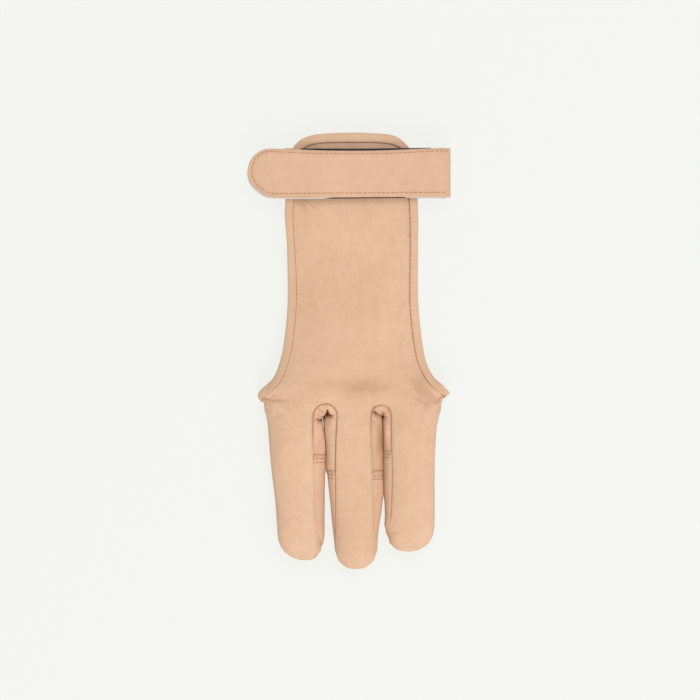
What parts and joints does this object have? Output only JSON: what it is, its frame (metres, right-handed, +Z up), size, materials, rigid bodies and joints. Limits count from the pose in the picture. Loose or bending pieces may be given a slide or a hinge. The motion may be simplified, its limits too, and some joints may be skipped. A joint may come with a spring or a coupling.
{
  "type": "archery glove",
  "caption": "Three-finger leather archery glove, lying flat: open palm, fourchettes, bound edge and a hook-and-loop wrist strap closed over the tail.",
  "frame": {"origin": "under the middle of the glove's bounding box, on the surface it lies on", "axes": "+X across the fingers from the ring finger towards the index finger, +Y from the finger tips towards the wrist, +Z up, out of the back of the hand"},
  "size_m": [0.1018, 0.2178, 0.0155],
  "materials": {
    "back_leather": "soft pale tan grain leather, matt",
    "palm_leather": "soft pale tan grain leather, matt",
    "side_leather": "soft tan grain leather, matt, a little darker",
    "stall_leather": "firm pale tan leather, matt",
    "binding_leather": "thin turned leather strip, matt",
    "strap_leather": "pale tan grain leather, matt",
    "strap_lining": "off-white lining, matt",
    "hook_tape": "black woven hook tape",
    "loop_tape": "black woven loop tape"
  },
  "bodies": {
    "root": {"back_panel": "back_leather", "palm_panel": "palm_leather", "ring_middle_fourchette": "side_leather", "middle_index_fourchette": "side_leather", "ring_stall": "stall_leather", "middle_stall": "stall_leather", "index_stall": "stall_leather", "edge_binding": "binding_leather", "wrist_strap": "strap_leather", "strap_lining": "strap_lining", "hook_strip": "hook_tape", "loop_pad": "loop_tape"}
  },
  "joints": []
}
